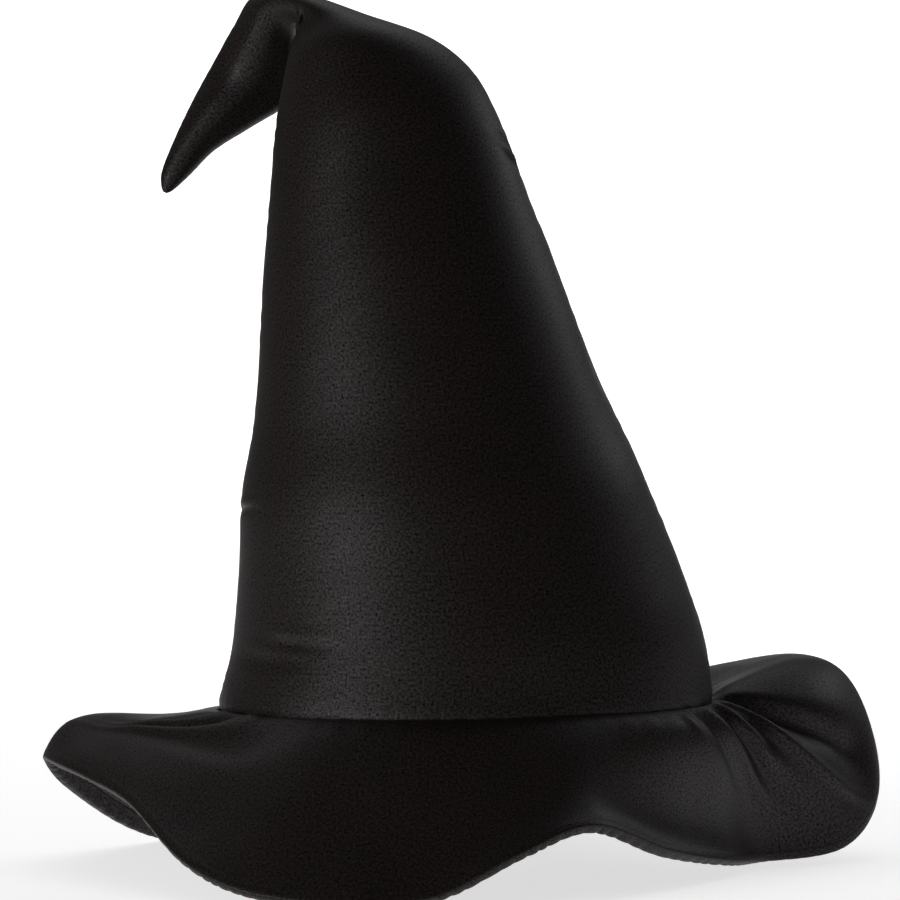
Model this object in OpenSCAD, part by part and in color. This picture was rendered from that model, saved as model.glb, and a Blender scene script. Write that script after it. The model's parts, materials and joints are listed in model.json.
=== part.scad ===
// Pointed cloth hat: a foam-backed satin crown whose top folds over to the left,
// and a wide brim on a wired edge, bent into lobes. Millimetres.
// The origin is the middle of the head opening, +Z is up and -Y is the front.

/* [Head opening] */
// Radius of the sweatband's inner wall, for a 58 cm head
head_r = 92.3; // [92:0.1:92.5]
// Height of the sweatband
band_h = 26; // [18:1:26]
// Thickness of the sweatband
band_t = 1; // [0.8:0.1:1.2]
// Lower edge of the sweatband
band_low = -3.5; // [-4:0.1:-3.5]
// Thickness of the tape that closes the headline seam
tape_t = 1.8; // [1:0.1:1.8]
// Upper face of the headline tape
tape_top = -1.7; // [-2:0.1:-1.6]

/* [Crown layers] */
// Thickness of the outer satin
satin_t = 0.8; // [0.6:0.1:0.9]
// Thickness of the foam backing
foam_t = 2.8; // [2:0.1:2.8]
// Thickness of the lining
lining_t = 0.5; // [0.4:0.1:0.6]
// Clearance between one layer and the next
layer_gap = 0.1; // [0.05:0.01:0.12]
// Half of the gap between the front and back satin at a side seam
seam_gap = 0.15; // [0.1:0.01:0.2]
// Half of the slot between the front and back foam, where the thread runs
foam_slot = 0.9; // [0.8:0.05:1]
// Radius of the sewing thread
thread_r = 0.25; // [0.15:0.05:0.3]

/* [Fold] */
// Share of a station left open on each side of the fold line
fold_gap = 0.08; // [0.06:0.01:0.12]

/* [Brim] */
// Thickness of the brim's foam
brim_foam_t = 3.6; // [3:0.1:3.6]
// Thickness of the brim's satin, above and below
brim_satin_t = 0.6; // [0.4:0.1:0.7]
// Outer radius of the rolled edge
roll_r = 3.4; // [3.3:0.1:3.6]
// Inner radius of the rolled edge
roll_inner_r = 2.75; // [2.7:0.05:2.8]
// Width of the rolled edge's legs on the brim
roll_leg = 5; // [4:0.5:6]
// Radius of the edge wire
wire_r = 0.7; // [0.5:0.05:0.8]
// Distance of the wire beyond the brim's cut edge
wire_out = 1.4; // [1.3:0.05:1.5]
// Radius of the crimp sleeve that joins the wire's ends
joiner_r = 1.15; // [1.1:0.05:1.15]
// Length of the crimp sleeve
joiner_len = 8; // [6:1:8]

/* [Trim] */
// Length of one stitch
stitch_len = 5; // [3:0.5:6]
// Number of stitches round the headline tape
tape_stitches = 48; // [36:4:60]
// Width of the blank care label
label_w = 18; // [14:1:22]
// Drop of the blank care label
label_h = 12; // [10:1:14]

/* [Hidden] */

satin_black = "#151212";
under_black = "#242022";
foam_grey = "#3a3a3c";
lining_black = "#1b1a1c";
thread_black = "#0c0b0b";

// Crown stations, from the headline over the fold to the end of the tip.
// Each is a section: the edge on the fold's inner side x and z, the edge on its
// outer side x and z, the middle in y, and half of its depth.
CROWN = [
    [-104, -1.5, 104, -1.5, 0, 104],
    [-102, 8, 104.5, 10, 0, 103],
    [-98, 28, 102, 33, 0, 100],
    [-95.5, 60, 92.5, 60, 0, 94],
    [-94.5, 90, 80.5, 92, 0, 87],
    [-89.5, 120, 66.5, 122, 0, 78],
    [-87, 155, 52.5, 155, 0, 70],
    [-84.5, 190, 39, 190, 0, 62],
    [-82.5, 222, 27, 222, 0, 54],
    [-79.5, 250, 16, 250, 0, 47],
    [-76.5, 270, 5, 271, 2, 41],
    [-74, 281, -13, 286, 5, 36],
    [-72, 289, -40, 296.5, 11, 30],
    [-72, 293.5, -69, 307, 19, 25],
    [-73, 289, -90.5, 308, 30, 20],
    [-73.5, 277, -100.5, 295.5, 37, 17],
    [-76, 263, -110.5, 279, 43, 14],
    [-93, 251.5, -119, 263, 43, 12],
    [-108.5, 241.5, -126, 247.5, 42, 9],
    [-119.5, 230.5, -131.5, 233, 41, 6],
    [-126.5, 224, -132, 226.5, 40, 3],
    [-129.5, 222.5, -131, 223.2, 39, 0.6]
];
fold_station = 13;
crown_rows = [0, 0.5, 1, 1.5, 2, 3, 4, 5, 6, 7, 8, 9, 9.5, 10, 10.5, 11, 11.5, 12, 12.5,
    fold_station - fold_gap];
tip_rows = [fold_station + fold_gap, 13.5, 14, 14.5, 15, 15.5, 16, 17, 18, 19, 19.5, 20, 20.5, 21];
filling_rows = [for (u = tip_rows) if (u < 20) u];
half_sides = 12;
smallest_half = 0.15;

foam_depth = satin_t + layer_gap;
lining_depth = foam_depth + foam_t + layer_gap;
filling_depth = foam_depth + layer_gap;

// Brim stations, anticlockwise from above. Each is a line from the headline to the
// edge: its bearing on the headline, the edge point x, y, z, and the angles
// above level at which the cloth leaves the headline and reaches the edge.
BRIM = [
    [1, 179, 36.5, -39, -5, -86],
    [6, 178.5, 64.5, -12, 20, -74],
    [14, 169.5, 79.5, -1.5, 23, -71],
    [27, 150.5, 99.5, 1.5, 22, -55],
    [42, 127, 116, -5.5, 18, -47],
    [58, 96, 128, -24, 8, -50],
    [74, 60, 142, -48, -15, -55],
    [90, 15, 150, -63.5, -30, -45],
    [108, -38, 148, -58, -28, -40],
    [124, -82, 135, -54, -22, -45],
    [140, -125.5, 110, -63.5, -22, -60],
    [154, -148, 81.5, -56.5, -18, -77],
    [166, -172, 45, -35, -22, -82],
    [176, -178.5, 21, -21.5, -25, -69],
    [184, -170, -13, -21, -19, -45],
    [196, -154, -43, -24.5, -13, -47],
    [210, -133.5, -76.5, -32, -20, -42],
    [226, -109, -119, -51, -32, -42],
    [240, -84, -141, -60.5, -38, -48],
    [254, -48, -153, -63.5, -42, -50],
    [268, -12, -153, -61, -40, -50],
    [282, 22, -146, -45, -32, -40],
    [296, 49.5, -130, -36.5, -25, -30],
    [312, 80, -92, -50, -28, -40],
    [328, 108.5, -47, -58.5, -26, -60],
    [342, 126.5, -8.5, -61.5, -22, -75],
    [353, 162, 13.5, -58, -15, -85]
];
brim_columns = 84;
brim_steps = 6;
headline_r = 104.6;
headline_z = 1;
headline_lift = 1.5;
// Fullness of the curve from the headline to the edge
brim_fullness = 1.15;
// Share of the brim's width over which the layers turn from upright to square
brim_root = 0.2;
brim_mid = brim_foam_t / 2;
brim_face = brim_mid + layer_gap + brim_satin_t;
small_step = 0.01;

// ---------- curves ----------

function spline(a, b, c, d, t) =
    0.5 * (2 * b + (c - a) * t + (2 * a - 5 * b + 4 * c - d) * t * t
        + (3 * b - a - 3 * c + d) * t * t * t);

function crown_row(i) = CROWN[max(0, min(len(CROWN) - 1, i))];

function crown_section(u) =
    let (i = min(floor(u), len(CROWN) - 2), t = u - i)
    spline(crown_row(i - 1), crown_row(i), crown_row(i + 1), crown_row(i + 2), t);

function shrunk(half, depth) = max(smallest_half, half - depth);

// A point on the crown at station u, bearing a, depth below the outer face
function crown_point(u, a, depth) =
    let (
        s = crown_section(u),
        middle = [s[0] + s[2], s[1] + s[3]] / 2,
        reach = [s[2] - s[0], s[3] - s[1]] / 2,
        wide = shrunk(norm(reach), depth) * reach / norm(reach),
        deep = shrunk(s[5], depth)
    )
    [middle[0] + wide[0] * cos(a), s[4] + deep * sin(a), middle[1] + wide[1] * cos(a)];

// The bearings of one half of the crown, kept a gap clear of the side seams
function half_bearings(u, gap, side) =
    let (edge = asin(min(0.5, gap / crown_section(u)[5])))
    [for (j = [0:half_sides]) side + edge + (180 - 2 * edge) * j / half_sides];

function crown_grid(rows, depth, gap, side) =
    [for (u = rows) [for (a = half_bearings(u, gap, side)) crown_point(u, a, depth)]];

// A brim station past either end repeats the ring, one turn on
function brim_station(i) =
    let (n = len(BRIM), turn = floor(i / n), s = BRIM[i - n * turn])
    [s[0] + 360 * turn, s[1], s[2], s[3], s[4], s[5]];

function brim_line(u) =
    let (i = floor(u), t = u - i)
    spline(brim_station(i - 1), brim_station(i), brim_station(i + 1), brim_station(i + 2), t);

function flat_unit(p) = [p[0], p[1]] / norm([p[0], p[1]]);

function headline_point(a) =
    [headline_r * cos(a), headline_r * sin(a), headline_z + headline_lift * (cos(a) - sin(a))];

// The middle surface of the brim: u runs round it, v from the headline to the edge
function brim_surface(u, v) =
    let (
        s = brim_line(u),
        start = headline_point(s[0]),
        finish = [s[1], s[2], s[3]],
        pull = norm(finish - start) * brim_fullness,
        out_start = [cos(s[0]) * cos(s[4]), sin(s[0]) * cos(s[4]), sin(s[4])],
        away = flat_unit(finish),
        out_finish = [away[0] * cos(s[5]), away[1] * cos(s[5]), sin(s[5])],
        w = v * v,
        c = w * v
    )
    start * (2 * c - 3 * w + 1) + out_start * pull * (c - 2 * w + v)
        + finish * (3 * w - 2 * c) + out_finish * pull * (c - w);

function unit(p) = p / norm(p);

function brim_along(u, v) =
    unit(brim_surface(u + small_step, v) - brim_surface(u - small_step, v));

function brim_outward(u, v) =
    let (near = max(0, v - small_step), far = min(1, v + small_step))
    unit(brim_surface(u, far) - brim_surface(u, near));

function brim_normal(u, v) = unit(cross(brim_outward(u, v), brim_along(u, v)));

// A point on a brim layer, height above the middle surface. The layers stand
// upright at the headline, so that their cut ends are one round wall.
function brim_point(u, v, height) =
    let (share = min(1, v / brim_root), blend = share * share * (3 - 2 * share))
    brim_surface(u, v)
        + height * unit([0, 0, 1 - blend] + blend * brim_normal(u, v));

function column_u(j) = j * len(BRIM) / brim_columns;

function brim_grid(height) =
    [for (i = [0:brim_steps])
        [for (j = [0:brim_columns - 1]) brim_point(column_u(j), i / brim_steps, height)]];

// A point beside the brim's edge: out beyond it, and up from the middle surface.
// Where out is negative it lies back on the brim's own last row of facets.
function edge_point(u, out, up) =
    let (
        along = brim_along(u, 1),
        upward = brim_normal(u, 1),
        edge = brim_point(u, 1, up),
        last_row = brim_point(u, 1 - 1 / brim_steps, up)
    )
    out < 0 ? edge + out * unit(edge - last_row) : edge + out * cross(along, upward);

// ---------- solids ----------

// A closed sheet between two grids of points. A ring closes on itself sideways.
module sheet_solid(outer, inner, ring = false) {
    rows = len(outer);
    columns = len(outer[0]);
    last = ring ? columns : columns - 1;
    function at(i, j) = i * columns + j % columns;
    function under(i, j) = rows * columns + at(i, j);
    outer_faces = [for (i = [0:rows - 2], j = [0:last - 1])
        each [[at(i, j), at(i + 1, j), at(i + 1, j + 1)],
              [at(i, j), at(i + 1, j + 1), at(i, j + 1)]]];
    inner_faces = [for (i = [0:rows - 2], j = [0:last - 1])
        each [[under(i, j), under(i + 1, j + 1), under(i + 1, j)],
              [under(i, j), under(i, j + 1), under(i + 1, j + 1)]]];
    first_edge = [for (j = [0:last - 1])
        each [[at(0, j), at(0, j + 1), under(0, j + 1)],
              [at(0, j), under(0, j + 1), under(0, j)]]];
    end = rows - 1;
    last_edge = [for (j = [0:last - 1])
        each [[at(end, j), under(end, j + 1), at(end, j + 1)],
              [at(end, j), under(end, j), under(end, j + 1)]]];
    sides = ring ? [] : [for (i = [0:rows - 2])
        each [[at(i, 0), under(i, 0), under(i + 1, 0)],
              [at(i, 0), under(i + 1, 0), at(i + 1, 0)],
              [at(i, last), under(i + 1, last), under(i, last)],
              [at(i, last), at(i + 1, last), under(i + 1, last)]]];
    polyhedron(
        points = [each for (row = outer) row, each for (row = inner) row],
        faces = concat(outer_faces, inner_faces, first_edge, last_edge, sides),
        convexity = 10
    );
}

// A closed tube through rings of points, closed into a loop or capped at its ends
module tube_solid(rings, loop = false) {
    count = len(rings);
    sides = len(rings[0]);
    last = loop ? count : count - 1;
    function at(i, j) = (i % count) * sides + j % sides;
    walls = [for (i = [0:last - 1], j = [0:sides - 1])
        each [[at(i, j), at(i + 1, j), at(i + 1, j + 1)],
              [at(i, j), at(i + 1, j + 1), at(i, j + 1)]]];
    caps = loop ? [] : [
        [for (j = [0:sides - 1]) at(0, j)],
        [for (j = [0:sides - 1]) at(count - 1, sides - 1 - j)]
    ];
    polyhedron(points = [each for (row = rings) row], faces = concat(walls, caps), convexity = 10);
}

module crown_half(rows, depth, thick, gap, side) {
    sheet_solid(
        crown_grid(rows, depth, gap, side),
        crown_grid(rows, depth + thick, gap, side)
    );
}

// A short straight stitch from p to q
module stitch(p, q) {
    run = q - p;
    translate(p)
        rotate([0, acos(run[2] / norm(run)), atan2(run[1], run[0])])
        cylinder(h = norm(run), r = thread_r, $fn = 6);
}

// ---------- crown ----------

module crown_front_panel() {
    color(satin_black) crown_half(crown_rows, 0, satin_t, seam_gap, 180);
}

module crown_back_panel() {
    color(satin_black) crown_half(crown_rows, 0, satin_t, seam_gap, 0);
}

module crown_front_foam() {
    color(foam_grey) crown_half(crown_rows, foam_depth, foam_t, foam_slot, 180);
}

module crown_back_foam() {
    color(foam_grey) crown_half(crown_rows, foam_depth, foam_t, foam_slot, 0);
}

module crown_front_lining() {
    color(lining_black) crown_half(crown_rows, lining_depth, lining_t, seam_gap, 180);
}

module crown_back_lining() {
    color(lining_black) crown_half(crown_rows, lining_depth, lining_t, seam_gap, 0);
}

// The thread of the two side seams runs in the slot between the foam halves
module side_seam_thread() {
    depth = foam_depth + foam_t / 2;
    color(thread_black)
        for (side = [0, 180])
            tube_solid([for (u = crown_rows)
                let (
                    p = crown_point(u, side, depth),
                    inward = crown_point(u, side, depth + thread_r) - p,
                    across = [0, -thread_r * cos(side), 0]
                )
                [p + inward, p + across, p - inward, p - across]
            ]);
}

// ---------- tip ----------

module tip_front_panel() {
    color(satin_black) crown_half(tip_rows, 0, satin_t, seam_gap, 180);
}

module tip_back_panel() {
    color(satin_black) crown_half(tip_rows, 0, satin_t, seam_gap, 0);
}

module tip_filling() {
    full_sides = 2 * half_sides;
    color(foam_grey)
        tube_solid([for (u = filling_rows)
            [for (j = [0:full_sides - 1]) crown_point(u, 360 * j / full_sides, filling_depth)]]);
}

// ---------- brim ----------

module brim_top_satin() {
    color(satin_black) sheet_solid(brim_grid(brim_mid + layer_gap), brim_grid(brim_face), ring = true);
}

module brim_foam() {
    color(foam_grey) sheet_solid(brim_grid(-brim_mid), brim_grid(brim_mid), ring = true);
}

module brim_under_satin() {
    color(under_black)
        sheet_solid(brim_grid(-brim_face), brim_grid(-brim_mid - layer_gap), ring = true);
}

// The satin strip rolled round the edge: a C that holds the layers and the wire
module brim_edge_roll() {
    bend = [90, 45, 0, -45, -90];
    outline = concat(
        [[-roll_leg, roll_r]],
        [for (a = bend) [roll_r * cos(a), roll_r * sin(a)]],
        [[-roll_leg, -roll_r], [-roll_leg, -roll_inner_r]],
        [for (a = bend) [roll_inner_r * cos(a), -roll_inner_r * sin(a)]],
        [[-roll_leg, roll_inner_r]]
    );
    color(satin_black)
        tube_solid([for (j = [0:brim_columns - 1])
            [for (p = outline) edge_point(column_u(j), p[0], p[1])]], loop = true);
}

module brim_edge_stitching() {
    from_edge = roll_leg - 1;
    height = -(roll_r + thread_r + layer_gap);
    spare = 0.2;
    color(thread_black)
        for (j = [0:brim_columns - 1]) {
            a = edge_point(column_u(j), -from_edge, height);
            b = edge_point(column_u(j + 1), -from_edge, height);
            stitch(a + (b - a) * spare, b - (b - a) * spare);
        }
}

module brim_wire() {
    sides = 6;
    color("silver")
        tube_solid([for (j = [0:brim_columns - 1])
            [for (k = [0:sides - 1])
                edge_point(column_u(j),
                    wire_out + wire_r * cos(360 * k / sides),
                    -wire_r * sin(360 * k / sides))]], loop = true);
}

// A crimped sleeve over the wire's two ends, at the back of the hat
module brim_wire_joiner() {
    column = 23;
    a = edge_point(column_u(column), wire_out, 0);
    b = edge_point(column_u(column + 1), wire_out, 0);
    run = b - a;
    start = (a + b) / 2 - unit(run) * joiner_len / 2;
    color("silver")
        translate(start)
        rotate([0, acos(run[2] / norm(run)), atan2(run[1], run[0])])
        difference() {
            cylinder(h = joiner_len, r = joiner_r, $fn = 24);
            translate([0, 0, -1]) cylinder(h = joiner_len + 2, r = wire_r + layer_gap, $fn = 24);
        }
}

// ---------- head opening ----------

module sweatband() {
    color(lining_black)
        rotate_extrude($fn = 96)
        translate([head_r, band_low]) square([band_t, band_h]);
}

tape_low = tape_top - tape_t;
tape_inner_r = head_r + band_t + layer_gap;
tape_outer_r = headline_r - 0.5;

// The bias tape under the crown's cut edge and the sweatband
module headline_tape() {
    color(lining_black)
        rotate_extrude($fn = 96)
        translate([tape_inner_r, tape_low]) square([tape_outer_r - tape_inner_r, tape_t]);
}

module headline_stitching() {
    r = (tape_inner_r + tape_outer_r) / 2;
    z = tape_low - thread_r - layer_gap;
    turn = stitch_len / r * 90 / PI;
    color(thread_black)
        for (i = [0:tape_stitches - 1]) {
            a = 360 * i / tape_stitches;
            stitch([r * cos(a - turn), r * sin(a - turn), z], [r * cos(a + turn), r * sin(a + turn), z]);
        }
}

// A blank label sewn in at the back
module care_label() {
    thick = 0.4;
    y = (tape_inner_r + tape_outer_r) / 2 + 2;
    color("#e8e6e0")
        translate([-label_w / 2, y, tape_low - layer_gap - label_h]) cube([label_w, thick, label_h]);
}

crown_front_panel();
crown_back_panel();
crown_front_foam();
crown_back_foam();
crown_front_lining();
crown_back_lining();
side_seam_thread();
tip_front_panel();
tip_back_panel();
tip_filling();
brim_top_satin();
brim_foam();
brim_under_satin();
brim_edge_roll();
brim_edge_stitching();
brim_wire();
brim_wire_joiner();
sweatband();
headline_tape();
headline_stitching();
care_label();
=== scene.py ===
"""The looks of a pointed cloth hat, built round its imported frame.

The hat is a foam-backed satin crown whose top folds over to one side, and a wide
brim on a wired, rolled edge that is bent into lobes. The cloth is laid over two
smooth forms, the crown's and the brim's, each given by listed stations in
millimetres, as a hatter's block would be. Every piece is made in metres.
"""

import json
import logging
import math
from dataclasses import dataclass
from enum import Enum
from typing import Callable

import bpy
import numpy as np
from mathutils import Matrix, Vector


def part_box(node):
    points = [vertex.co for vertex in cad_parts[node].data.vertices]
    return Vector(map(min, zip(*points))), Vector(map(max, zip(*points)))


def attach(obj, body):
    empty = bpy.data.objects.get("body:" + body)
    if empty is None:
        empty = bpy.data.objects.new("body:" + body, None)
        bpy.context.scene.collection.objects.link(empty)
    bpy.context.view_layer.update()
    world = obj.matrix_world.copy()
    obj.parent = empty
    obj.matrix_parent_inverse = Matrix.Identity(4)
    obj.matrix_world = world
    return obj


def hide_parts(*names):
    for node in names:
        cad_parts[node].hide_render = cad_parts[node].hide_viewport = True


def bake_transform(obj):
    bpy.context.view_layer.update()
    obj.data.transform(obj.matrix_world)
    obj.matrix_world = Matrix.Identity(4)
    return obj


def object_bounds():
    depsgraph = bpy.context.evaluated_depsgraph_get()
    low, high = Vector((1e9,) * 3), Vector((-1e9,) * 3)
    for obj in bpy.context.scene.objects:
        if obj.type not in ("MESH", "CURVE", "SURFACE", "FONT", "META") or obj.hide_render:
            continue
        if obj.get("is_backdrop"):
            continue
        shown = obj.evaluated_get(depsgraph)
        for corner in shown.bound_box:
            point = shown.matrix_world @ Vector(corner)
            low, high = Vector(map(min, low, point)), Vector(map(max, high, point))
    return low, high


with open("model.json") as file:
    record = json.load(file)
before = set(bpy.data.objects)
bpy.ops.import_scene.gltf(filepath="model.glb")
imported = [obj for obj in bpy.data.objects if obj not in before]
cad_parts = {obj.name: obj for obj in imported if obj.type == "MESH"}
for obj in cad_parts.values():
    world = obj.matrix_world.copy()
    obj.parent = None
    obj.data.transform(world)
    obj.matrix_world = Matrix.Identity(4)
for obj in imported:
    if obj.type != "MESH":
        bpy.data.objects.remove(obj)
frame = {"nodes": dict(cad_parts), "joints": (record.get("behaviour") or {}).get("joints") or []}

CAD_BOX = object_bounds()
MM = 0.001
SEED = 20
log = logging.getLogger("hat")

Grid = tuple[np.ndarray, np.ndarray]


# ---------- numbers ----------

def ease(x: np.ndarray) -> np.ndarray:
    """A smooth step from 0 to 1 as x goes from 0 to 1."""
    x = np.clip(x, 0.0, 1.0)
    return x * x * (3 - 2 * x)


def hump(x: np.ndarray, rise: float, fall: float) -> np.ndarray:
    """A rounded ridge of height 1 at x = 0, with its own width on each side.

    Args:
        x: distance from the ridge's line.
        rise: width on the side below 0.
        fall: width on the side above 0.

    Returns:
        The ridge's height.
    """
    return np.exp(-np.square(x / np.where(x < 0, rise, fall)))


def unit(rows: np.ndarray) -> np.ndarray:
    """Each row as a direction of length 1."""
    return rows / np.maximum(np.linalg.norm(rows, axis=-1, keepdims=True), 1e-12)


def area_under(height: np.ndarray, run: np.ndarray) -> float:
    """The area under a line of heights."""
    return float(np.sum((height[1:] + height[:-1]) / 2 * np.diff(run)))


def spline(a: np.ndarray, b: np.ndarray, c: np.ndarray, d: np.ndarray, t: np.ndarray) -> np.ndarray:
    """The smooth curve from b to c that passes through all four rows.

    Args:
        a: the row before.
        b: the row where t is 0.
        c: the row where t is 1.
        d: the row after.
        t: how far from b to c.

    Returns:
        The curve's row at t.
    """
    return 0.5 * (2 * b + (c - a) * t + (2 * a - 5 * b + 4 * c - d) * t**2 + (3 * b - a - 3 * c + d) * t**3)


def through(table: tuple[tuple[float, ...], ...], place: np.ndarray) -> np.ndarray:
    """The smooth curve through a table's rows.

    Args:
        table: rows of numbers, in order along the curve.
        place: where to read it, counted in rows from 0.

    Returns:
        A row of numbers for each place.
    """
    rows = np.array(table, float)
    last = len(rows) - 1
    whole = np.clip(np.floor(place).astype(int), 0, last - 1)
    around = [rows[np.clip(whole + k, 0, last)] for k in (-1, 0, 1, 2)]
    return spline(*around, (place - whole)[..., None])


def run_along(points: np.ndarray) -> np.ndarray:
    """The distance along a line of points, from 0 at the first."""
    return np.concatenate([[0], np.cumsum(np.linalg.norm(np.diff(points, axis=0), axis=1))])


def soft_noise(x: np.ndarray, y: np.ndarray, pitch: float, seed: int) -> np.ndarray:
    """Smooth random relief between about -1 and 1.

    Args:
        x: first coordinate, in the pitch's unit.
        y: second coordinate.
        pitch: distance over which the relief changes.
        seed: which pattern.

    Returns:
        The relief at each point.
    """
    random = np.random.default_rng(SEED + seed)
    total = np.zeros(np.broadcast(x, y).shape)
    waves = 9
    for _ in range(waves):
        turn = random.uniform(0, 2 * math.pi)
        rate = 2 * math.pi / pitch * random.uniform(0.6, 1.5)
        total += np.sin(rate * (x * math.cos(turn) + y * math.sin(turn)) + random.uniform(0, 2 * math.pi))
    return total / math.sqrt(waves * 2)


# ---------- mesh work ----------

def nothing_selected() -> None:
    """Deselects everything before a primitive is added."""
    for other in list(bpy.context.selected_objects):
        other.select_set(False)


def only(piece: bpy.types.Object) -> None:
    """Makes the piece the one thing selected, and active."""
    nothing_selected()
    piece.select_set(True)
    bpy.context.view_layer.objects.active = piece


def named(name: str) -> bpy.types.Object:
    """The object that was just added, under its own name."""
    piece = bpy.context.object
    piece.name = name
    piece.data.name = name
    return piece


def corners(piece: bpy.types.Object) -> np.ndarray:
    """The piece's vertices as rows of x, y, z."""
    places = np.zeros(len(piece.data.vertices) * 3)
    piece.data.vertices.foreach_get("co", places)
    return places.reshape(-1, 3)


def put_corners(piece: bpy.types.Object, rows: np.ndarray) -> None:
    """Moves the piece's vertices to the rows given."""
    piece.data.vertices.foreach_set("co", np.ascontiguousarray(rows, float).ravel())
    piece.data.update()


def apply_modifier(piece: bpy.types.Object, kind: str, **settings: object) -> None:
    """Adds one modifier with its settings and applies it to the mesh."""
    only(piece)
    modifier = piece.modifiers.new(kind.lower(), kind)
    for key, value in settings.items():
        setattr(modifier, key, value)
    bpy.ops.object.modifier_apply(modifier=modifier.name)


def in_edit_mode(piece: bpy.types.Object, work: Callable[[], None]) -> None:
    """Runs mesh operators on the whole of the piece."""
    only(piece)
    bpy.ops.object.mode_set(mode="EDIT")
    bpy.ops.mesh.select_all(action="SELECT")
    work()
    bpy.ops.object.mode_set(mode="OBJECT")


def close_ring(piece: bpy.types.Object) -> None:
    """Sews the two ends of a sheet that comes round to meet itself."""
    weld = 1e-7
    in_edit_mode(piece, lambda: bpy.ops.mesh.remove_doubles(threshold=weld))


def smooth(piece: bpy.types.Object) -> None:
    """Shades the piece smooth all over."""
    only(piece)
    bpy.ops.object.shade_smooth()


def thicken(piece: bpy.types.Object, thickness: float, offset: float) -> None:
    """Gives a sheet its thickness and shades it smooth.

    Args:
        piece: the sheet, a single layer.
        thickness: how thick it becomes, in millimetres.
        offset: 1 to grow on its face's side, -1 on the other, 0 on both.
    """
    apply_modifier(piece, "SOLIDIFY", thickness=thickness * MM, offset=offset)
    smooth(piece)


def cloth_sheet(
    name: str,
    columns: int,
    rows: int,
    place: Callable[[np.ndarray, np.ndarray], np.ndarray],
    flat: Callable[[np.ndarray, np.ndarray], np.ndarray],
) -> bpy.types.Object:
    """Lays a flat gridded cloth on a form.

    Args:
        name: the piece's name.
        columns: faces across.
        rows: faces along.
        place: gives each grid point's place in millimetres, from its share across and along.
        flat: gives each grid point's place on the flat cloth in millimetres.

    Returns:
        The cloth, a single layer, with its flat pattern as its UV map in metres.
    """
    nothing_selected()
    bpy.ops.mesh.primitive_grid_add(x_subdivisions=columns, y_subdivisions=rows, size=2)
    piece = named(name)
    start = corners(piece)
    across, along = (start[:, 0] + 1) / 2, (start[:, 1] + 1) / 2
    put_corners(piece, place(across, along) * MM)
    pattern = flat(across, along) * MM
    corner_of = np.zeros(len(piece.data.loops), dtype=np.int64)
    piece.data.loops.foreach_get("vertex_index", corner_of)
    layer = piece.data.uv_layers[0]
    layer.data.foreach_set("uv", pattern[corner_of].ravel())
    return piece


def stitch_row(name: str, starts: np.ndarray, ends: np.ndarray, radius: float) -> bpy.types.Object:
    """A row of stitches, each a short run of thread that sinks into the cloth at both ends.

    Args:
        name: the row's name.
        starts: where each stitch starts, in millimetres.
        ends: where each ends.
        radius: the thread's radius, in millimetres.

    Returns:
        The stitches, joined into one object.
    """
    nothing_selected()
    bpy.ops.mesh.primitive_uv_sphere_add(segments=8, ring_count=8, radius=1)
    model = named(name)
    shape = corners(model)
    copies = [model]
    for _ in range(len(starts) - 1):
        copy = model.copy()
        copy.data = model.data.copy()
        bpy.context.scene.collection.objects.link(copy)
        copies.append(copy)
    for copy, start, end in zip(copies, starts, ends):
        along = unit(end - start)
        side = unit(np.cross(along, [0.3, 0.2, 1.0]))
        turn = np.stack([side, np.cross(along, side), along])
        size = np.array([radius, radius, np.linalg.norm(end - start) / 2])
        put_corners(copy, ((start + end) / 2 + (shape * size) @ turn) * MM)
        copy.select_set(True)
    bpy.context.view_layer.objects.active = model
    bpy.ops.object.join()
    in_edit_mode(model, lambda: bpy.ops.mesh.normals_make_consistent(inside=False))
    smooth(model)
    return model


# ---------- materials ----------

def linear(hex_colour: str) -> tuple[float, float, float, float]:
    """An sRGB hex colour as the linear colour that the shaders take."""
    parts = [int(hex_colour[i : i + 2], 16) / 255 for i in (1, 3, 5)]
    bent = [c / 12.92 if c <= 0.04045 else ((c + 0.055) / 1.055) ** 2.4 for c in parts]
    return (bent[0], bent[1], bent[2], 1.0)


def fill_sockets(
    material: bpy.types.Material,
    node: bpy.types.ShaderNode,
    values: dict[str, object],
    links: dict[str, bpy.types.NodeSocket],
) -> None:
    """Sets a node's own values and joins its incoming links.

    Args:
        material: the material it is in.
        node: the node.
        values: input sockets' own values, by socket name.
        links: output sockets to join to inputs, by input name.
    """
    for key, value in values.items():
        node.inputs[key].default_value = value
    for key, source in links.items():
        material.node_tree.links.new(source, node.inputs[key])


def add_node(
    material: bpy.types.Material,
    kind: str,
    settings: dict[str, object] | None = None,
    values: dict[str, object] | None = None,
    links: dict[str, bpy.types.NodeSocket] | None = None,
) -> bpy.types.ShaderNode:
    """Adds a node with its settings, socket values and incoming links.

    Args:
        material: the material it goes in.
        kind: the node's type name.
        settings: attributes of the node.
        values: input sockets' own values, by socket name.
        links: output sockets to join to inputs, by input name.

    Returns:
        The new node.
    """
    node = material.node_tree.nodes.new(kind)
    for key, value in (settings or {}).items():
        setattr(node, key, value)
    fill_sockets(material, node, values or {}, links or {})
    return node


def new_material(name: str) -> tuple[bpy.types.Material, bpy.types.ShaderNode]:
    """An empty material and its Principled shader, joined to the output."""
    material = bpy.data.materials.new(name)
    material.use_nodes = True
    material.node_tree.nodes.clear()
    shader = add_node(material, "ShaderNodeBsdfPrincipled")
    add_node(material, "ShaderNodeOutputMaterial", links={"Surface": shader.outputs["BSDF"]})
    return material, shader


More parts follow.
